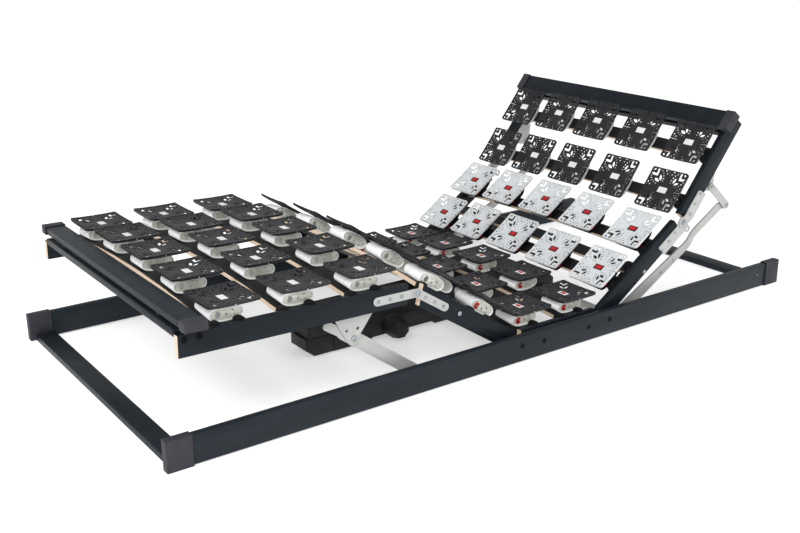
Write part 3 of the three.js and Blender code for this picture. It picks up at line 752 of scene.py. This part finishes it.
def window_insert(kind):
    """What shows in the plate's window. Its materials are [frame, button]."""
    parts = [(small_sheet(8.8, 15.3, 1.0, 5.2, 0.5, 0.5, 2), 0)]
    if kind == "red_button":
        parts.append((small_sheet(5.8, 10.5, 2.5, 4, 1.2, 2.6), 1))
    if kind == "red_bar":
        parts.append((small_sheet(4.6, 8.5, 4, 3, 0.8, 2.6), 1))
    return merged(*parts)


def spring_path(inset=0.0, steps=44):
    """The side view of a spring's hoop, a slightly squared oval standing on the slat."""
    middle, power = SPRING_HIGH / 2, 0.85
    rise, reach = middle - inset, SPRING_REACH - inset
    ring = []
    for i in range(steps):
        t = 2 * math.pi * i / steps
        c, s = math.cos(t), math.sin(t)
        x = reach * math.copysign(abs(c) ** power, c)
        z = middle + rise * math.copysign(abs(s) ** power, s)
        ring.append((x, z))
    return ring


def oval(x, z, half_x, half_z):
    """An oval of 12 points about (x, z)."""
    turns = [2 * math.pi * i / 12 for i in range(12)]
    return [(x + half_x * math.cos(t), z + half_z * math.sin(t)) for t in turns]


def band():
    """The wide hoop of a spring."""
    return slab(spring_path(), -BAND_HALF, BAND_HALF, [spring_path(2.6)], 0.8)


def web(side):
    """The thin side wall of a spring, bulged, with irregular openings."""
    middle = SPRING_HIGH / 2
    holes = [
        oval(ROLLER_X, middle - 0.5, 6.2, 8.2),
        rounded([(-3, middle - 4), (2, middle - 6), (4, middle - 1), (-1, middle + 2)], 2, 3),
        rounded([(12, middle + 4), (18, middle + 3), (19, middle + 7), (13, middle + 8)], 1.8, 3),
        oval(20, middle - 5, 1.8, 1.6),
    ]
    bm = flat_mesh(spring_path(1.8), holes, 1.5, 0.2)
    bm.transform(Matrix.Translation((0, side * (BAND_HALF - 5), 0)) @ UPRIGHT)
    for vert in bm.verts:
        lift = 1 - ((vert.co.x / SPRING_REACH) ** 2 + (vert.co.z / middle - 1) ** 2)
        vert.co.y += side * 4.0 * max(0.0, lift)
    return bm


def roller():
    """The red firmness insert: a slotted roll along the inside of the spring's nose."""
    ring = arc(0, 0, 8.6, 30, 330, 20) + arc(0, 0, 3.6, 330, 30, 14)
    bm = slab(ring, 0.4 - BAND_HALF, BAND_HALF - 0.4, bevel=0.6)
    bm.transform(Matrix.Translation((ROLLER_X, 0, SPRING_HIGH / 2 - 0.5)))
    return bm


def module_places(x):
    """Where the five springs of a row stand, each square to the bowed slat under it."""
    places = []
    for y in COLUMNS:
        slope = math.atan(-2 * BOW_RISE * y / BOW_HALF ** 2)
        places.append(Matrix.Translation((x, y, SLAT_TOP + bow(y))) @ Matrix.Rotation(slope, 4, "X"))
    return places


def row(node, section, x, slats, look):
    """One row across the bed. Slats are (from, to) along X from the middle of the plates."""
    white = look == "white"
    wood = merged(*[slat(x + a, x + b) for a, b in slats])
    piece(node, wood, section, ["slat", "slat_edge"], "slats")
    x0, x1 = x + min(a for a, b in slats), x + max(b for a, b in slats)
    shoes = merged(*[shoe(side, x0, x1) for _, side in SIDES])
    piece(node, shoes, section, ["rubber"], "shoes")
    parts = [(band(), 0), (web(-1), 1), (web(1), 1)]
    if look != "plain":
        parts.append((roller(), 2))
    shift = Matrix.Translation((SPRING_SHIFT, 0, 0))
    springs = copies(merged(*parts), [place @ shift for place in module_places(x)])
    # The white springs' looks carry a faint painted glow; their side walls also carry painted shade.
    spring_looks = ["black_spring", "black_spring", "red"] if white else ["white_spring_glowing", "web", "red"]
    piece(node, springs, section, spring_looks, "springs")
    tops = [Matrix.Translation((x, y, PLATE_Z + 0.6 + bow(y))) for y in COLUMNS]
    plate_look = "white_plate" if white else "black_plate"
    piece(node, copies(plate(), tops), section, [plate_look], "plates")
    kind = {"plain": "plain", "white": "red_button", "firm": "red_bar"}[look]
    insert_looks = ["black_spring", "red"] if white else ["insert_white", "red"]
    piece(node, copies(window_insert(kind), tops), section, insert_looks, "inserts")


WIDE = [(-60, 28)]
ROWS = (
    ("seat_row_foot", "seat", 38, WIDE, "firm"),
    ("seat_row_head", "seat", 199, WIDE, "firm"),
    ("thigh_row_knee", "thigh", 62 - THIGH_LENGTH, [(-46, 42)], "plain"),
    ("thigh_row_hip", "thigh", 250 - THIGH_LENGTH, WIDE, "firm"),
    ("calf_row_knee", "calf", -118, WIDE, "plain"),
    ("calf_row_middle", "calf", -294, WIDE, "plain"),
    ("calf_row_foot", "calf", -468, [(-50, 28)], "plain"),
    ("back_row_lower", "back", 104, [(-23, 17), (37, 72)], "white"),
    ("back_row_upper", "back", 258, [(-36, 4)], "white"),
    ("head_row_lower", "head", 54, [(-21, 16)], "plain"),
    ("head_row_upper", "head", 212, [(-28, 10)], "plain"),
)
for args in ROWS:
    row(*args)

# ---- hinge steel -----------------------------------------------------------------------------------

STEEL, ZINC = 0, 1  # the places of a steel piece's two looks

NECK_PLATE = [(-108, 3), (-100, -31), (-6, -31), (-2, -40), (7.6, -45), (18, -38), (16, -26), (12, -12),
              (16, 0), (11, 12), (0, 16), (-14, 10), (-20, 3)]
NECK_LOBE = [(0, 16), (-11, 11), (-16, 0), (-11, -11), (0, -16), (16, -24), (34, -27), (34, 2), (14, 8)]
NECK_BLADE = [(26, 2), (26, -31), (110, -30), (104, 2)]


def steel_piece(node, parts, section, looks=("steel", "zinc")):
    piece(node, merged(*parts), section, looks)


def rivets(side, y, places, radius=4.6):
    """Rivet heads on a steel face at y."""
    return [(knob(radius, RIVET_HIGH, x, z, side * (y - 0.1), side), ZINC) for x, z in places]


def hinge_pin(side, x):
    """The pin of a knee or a neck, through both layers of steel, with its head outside them."""
    return [(rod(x, 0, PIN_RADIUS, side * FIRST[0], side * 418), ZINC),
            (knob(PIN_HEAD, 2.2, x, 0, side * 416.8, side), ZINC)]


def knee_straps(side, name):
    """The two straps of a knee: the calf's carries the pin, the thigh's has the eye."""
    half = KNEE_STRAP_HALF
    strap = slab(capsule((-122 + half, 0), (0, 0), half), side * FIRST[0], side * FIRST[1])
    rows = rivets(side, FIRST[1], [(-44, 0), (-77, 0), (-110, 0)])
    steel_piece(f"knee_strap_calf_{name}", [(strap, STEEL), *hinge_pin(side, 0), *rows], "calf")
    x = -THIGH_LENGTH
    eye = [round_hole(x, 0, PIN_HOLE, 20)]
    lobe = slab(capsule((x, 0), (x + 30, 0), half), side * SECOND[0], side * SECOND[1], eye)
    leg = slab(capsule((x + 30, 0), (x + 110 - half, 0), half), side * FIRST[0], side * LEG_END)
    rows = rivets(side, LEG_END, [(x + 60.5, 0), (x + 93, 0)]) + rivets(side, SECOND[1], [(x + 26.5, 0)])
    steel_piece(f"knee_strap_thigh_{name}", [(lobe, STEEL), (leg, STEEL), *rows], "thigh")


def neck_plates(side, name):
    """The two plates of a neck: the back's carries the pin and has a stop hole, the head's has the eye."""
    x = BACK_LENGTH
    outline = rounded([(x + dx, z) for dx, z in NECK_PLATE], 6, 4)
    stop_hole = [round_hole(x + 7.6, -34.3, 4.5)]
    sheet = slab(outline, side * FIRST[0], side * FIRST[1], stop_hole)
    rows = rivets(side, FIRST[1], [(x - 101, -12), (x - 68, -9), (x - 36, -6)], 3.8)
    steel_piece(f"neck_plate_back_{name}", [(sheet, STEEL), *hinge_pin(side, x), *rows], "back")
    eye = [round_hole(0, 0, PIN_HOLE, 20)]
    lobe = slab(rounded(NECK_LOBE, 6, 4), side * SECOND[0], side * SECOND[1], eye)
    blade = slab(rounded(NECK_BLADE, 5, 4), side * FIRST[0], side * LEG_END)
    rows = rivets(side, LEG_END, [(64.5, -8), (98.4, -8)], 3.8) + rivets(side, SECOND[1], [(31, -8)], 3.8)
    steel_piece(f"neck_plate_head_{name}", [(lobe, STEEL), (blade, STEEL), *rows], "head")


# ---- lift gear -------------------------------------------------------------------------------------


def leg_bracket(side, name):
    """The triangle under a calf rail, with the stud that runs in the leg lever's slot."""
    outline = [(-104, -4), (-108, -25), (-146, -76), *arc(*LEG_PIN, 18, 290, 230, 8), (-183, -88),
               (-218, -25), (-224, -4)]
    holes = [round_hole(x, -61, 4, 14) for x in (-183, -153)]
    sheet = slab(outline, side * BRACKET_INNER, side * BRACKET_OUTER, holes)
    stud = rod(*LEG_PIN, PIN_RADIUS, side * 381, side * 394)
    disc = rod(*LEG_PIN, 11, side * 381, side * 384)
    face = side * (BRACKET_OUTER - 0.1)
    dome = knob(7.5, 2.0, *LEG_PIN, face, side)
    small = knob(3.2, 1.0, -168, -70, face, side)
    parts = [(sheet, STEEL), (stud, ZINC), (disc, ZINC), (dome, ZINC), (small, STEEL)]
    steel_piece(f"leg_bracket_{name}", parts, "calf")


def shaft_parts():
    """A lift's shaft, with the thin stubs that turn in its bearing brackets."""
    stubs = [(rod(0, 0, STUB_RADIUS, side * LEVER_INNER, side * 393.4), ZINC) for _, side in SIDES]
    return [(rod(0, 0, SHAFT_RADIUS, -385, 385, 40), STEEL), *stubs]


def leg_lift():
    """The leg lift's shaft with its two slotted levers."""
    far = LEG_SLOT[1]
    outline = [*arc(0, 0, 17, -90, 90, 16), (-far - 2, 17), (-far - 10, 15), (-far - 18, 9),
               *arc(-LEG_LEVER_TIP, -5, 11, 100, 260, 12), (-far - 18, -14), (-far - 8, -16.5),
               (-far - 2, -17)]
    slot_ring = capsule((-far, 0), (-LEG_SLOT[0], 0), LEG_SLOT_HALF)[::-1]
    parts = shaft_parts()
    for _, side in SIDES:
        parts.append((slab(outline, side * LEVER_INNER, side * LEVER_OUTER, [slot_ring], 0.8), STEEL))
    steel_piece("leg_lift_frame", parts, "leg_lift")


def back_lift():
    """The back lift's shaft with its two long cranked levers."""
    end = BACK_LEVER_LENGTH
    outline = [*arc(0, 0, 16, 100, 250, 14), (60, -26), (117, -27), (328, -22), (344, -18), (362, -8),
               (374, -6.5), (end - 16, -5), *arc(end, 0, 13, 215, 400, 16), (end - 10, 17), (end - 22, 20),
               (372, 16), (356, 13), (338, 5), (322, 2.5), (51, 9)]
    eye = [round_hole(end, 0, BACK_LEVER_EYE, 20)]
    parts = shaft_parts()
    for _, side in SIDES:
        parts.append((slab(outline, side * LEVER_INNER, side * LEVER_OUTER, eye, 0.8), STEEL))
        parts += rivets(side, LEVER_OUTER, [(262, -12), (205, -12)], 4.2)
    steel_piece("back_lift_frame", parts, "back_lift")


def head_bracket(side, name):
    """The bracket under a head rail that a neck link hangs from."""
    outline = [(112, -4), (118, -34), *arc(*HEAD_PIN, 13, 200, 340, 12), (196, -38), (200, -4)]
    sheet = slab(outline, side * BRACKET_INNER, side * BRACKET_OUTER, [round_hole(*HEAD_PIN, PIN_HOLE)])
    steel_piece(f"head_bracket_{name}", [sheet], "head", ["steel"])


def neck_link(side, name):
    """The link from a head bracket down to the end of the long lever."""
    end = (0, -LINK_LENGTH)
    bar = slab(capsule(end, (0, 0), 11), side * 394.3, side * 399, bevel=0.8)
    upper = [(rod(0, 0, PIN_RADIUS, side * 388, side * 395), ZINC),
             (knob(PIN_HEAD, 2.6, 0, 0, side * LEVER_OUTER, -side), ZINC)]
    lower = [(rod(*end, PIN_RADIUS, side * 381.5, side * 395), ZINC),
             (knob(12.5, 2.9, *end, side * 384.1, -side), ZINC)]
    rows = rivets(side, 399, [(0, 0), end], 5.5)
    steel_piece(f"neck_link_{name}", [(bar, STEEL), *upper, *lower, *rows], f"link_{name}")


def shaft_bracket(side, name, which):
    """The bearing of a shaft's end, screwed to the inside of the base rail."""
    x, z = SHAFTS[which]
    x0, x1, bottom, wall = x - 22, x + 22, 2.8, side * 429.2
    ear_outline = rounded([(x0, bottom), (x1, bottom), (x + 15, z + 16), (x - 15, z + 16)], 5, 4)
    ear = slab(ear_outline, side * BRACKET_INNER, side * BRACKET_OUTER, [round_hole(x, z, 6.3)])
    sole = block(x0, x1, side * BRACKET_INNER, wall, bottom, 5.8, 0.6)
    flange = block(x0, x1, side * 426.2, wall, bottom, 40, 0.6)
    screws = [(knob(5, 2.2, x + dx, 26, side * 426.4, -side), ZINC) for dx in (-12, 12)]
    parts = [(ear, STEEL), (sole, STEEL), (flange, STEEL), *screws]
    steel_piece(f"{which}_shaft_bracket_{name}", parts, "base")


leg_lift()
back_lift()
for label, side in SIDES:
    knee_straps(side, label)
    neck_plates(side, label)
    leg_bracket(side, label)
    head_bracket(side, label)
    neck_link(side, label)
    for which in SHAFTS:
        shaft_bracket(side, label, which)

# ---- drive -----------------------------------------------------------------------------------------


def drive():
    """The drive: a long case on both shafts, a power box on the near side and the pod of its motor."""
    outline = [(-385, 3), (-280, 3), (-262, 12), (-62, 12), (-56, 4), (-4, 4), (2, 12), (318, 12),
               (328, 2.5), (374, 2.5), (386, 14), (386, 48), (374, 58), (-385, 58)]
    bores = [round_hole(x, z, 13.8, 40) for x, z in SHAFTS.values()]
    case = slab(outline, -DRIVE_HALF, DRIVE_HALF, bores, 0.7)
    tray = slab([(-468, 22), (-443, 3), (-386, 3), (-386, 52), (-468, 52)], -DRIVE_HALF, -34, bevel=2)
    lid = slab([(-461, 50), (-386, 50), (-386, 87), (-453, 87), (-461, 80)], 2 - DRIVE_HALF, -36, bevel=2)
    pod = lathe([(0, 112.3), (32, 112.3), (32, 132), (25, 161), (20, 165.5), (0, 166)], 8)
    half_facet = Matrix.Rotation(math.radians(22.5), 4, "Z")
    pod.transform(Matrix.Translation((-203, 0, 36)) @ UPRIGHT @ half_facet)
    round_edges(pod, [edge for edge in pod.edges if edge.calc_face_angle(0) > 0.3], 1.5)
    for node, bm in (("drive_housing", case), ("drive_power_box", merged(tray, lid)), ("drive_pod", pod)):
        piece(node, bm, "base", ["drive"])


drive()

# ---- stage, light and camera ----------------------------------------------------------------------


def stage():
    """A wide pale floor, just under the bed base."""
    mesh = bpy.data.meshes.new("floor")
    size, level = 30.0, -0.0005
    mesh.from_pydata([(x, y, level) for x, y in rectangle(size, size)], [], [(0, 1, 2, 3)])
    floor = bpy.data.objects.new("floor", mesh)
    bpy.context.scene.collection.objects.link(floor)
    paint = Paint("pale_floor", Roughness=0.9, Specular_IOR_Level=0.1, Emission_Color=(1, 1, 1, 1),
                  Emission_Strength=0.45)
    paint.colour(paint.noise(1.2, 2), "f4f4f4", "f8f8f8")
    keep_places(mesh)
    mesh.materials.append(paint.material)


def area_light(name, place, target, size, power):
    """A round lamp at place, facing target."""
    light = bpy.data.lights.new(name, "AREA")
    light.shape = "DISK"
    light.size = size
    light.energy = power
    obj = bpy.data.objects.new(name, light)
    obj.location = place
    obj.rotation_euler = (Vector(target) - Vector(place)).to_track_quat("-Z", "Y").to_euler()
    bpy.context.scene.collection.objects.link(obj)


def world_light():
    """Even white light from all round."""
    world = bpy.data.worlds.new("studio")
    world.use_nodes = True
    background = world.node_tree.nodes["Background"]
    background.inputs["Color"].default_value = (1, 1, 1, 1)
    background.inputs["Strength"].default_value = 0.6
    bpy.context.scene.world = world


CAMERA_PLACE = (-1.75087, -2.33141, 1.11343)
CAMERA_ANGLES = (-35.403, 18.682, -0.306)  # azimuth, elevation and roll, in degrees
CAMERA_LENS = 48.81


def camera():
    """The photograph's viewpoint."""
    data = bpy.data.cameras.new("camera")
    data.lens = CAMERA_LENS
    data.sensor_width = 36
    data.clip_end = 100
    obj = bpy.data.objects.new("camera", data)
    azimuth, elevation, roll = (math.radians(a) for a in CAMERA_ANGLES)
    back = Vector((math.sin(azimuth) * math.cos(elevation), -math.cos(azimuth) * math.cos(elevation),
                   math.sin(elevation)))
    right = Vector((math.cos(azimuth), math.sin(azimuth), 0))
    up = back.cross(right)
    tilted_right = right * math.cos(roll) + up * math.sin(roll)
    tilted_up = up * math.cos(roll) - right * math.sin(roll)
    place = Matrix((tilted_right, tilted_up, back)).transposed().to_4x4()
    place.translation = Vector(CAMERA_PLACE)
    obj.matrix_world = place
    bpy.context.scene.collection.objects.link(obj)
    bpy.context.scene.camera = obj


bpy.context.scene.view_settings.view_transform = "Standard"
stage()
world_light()
area_light("key", (-3.2, -2.0, 3.4), (0, 0, 0.2), size=2.5, power=130)
area_light("fill", (1.5, -4.0, 2.4), (0.2, 0, 0.2), size=3.0, power=45)
camera()

bpy.context.view_layer.update()
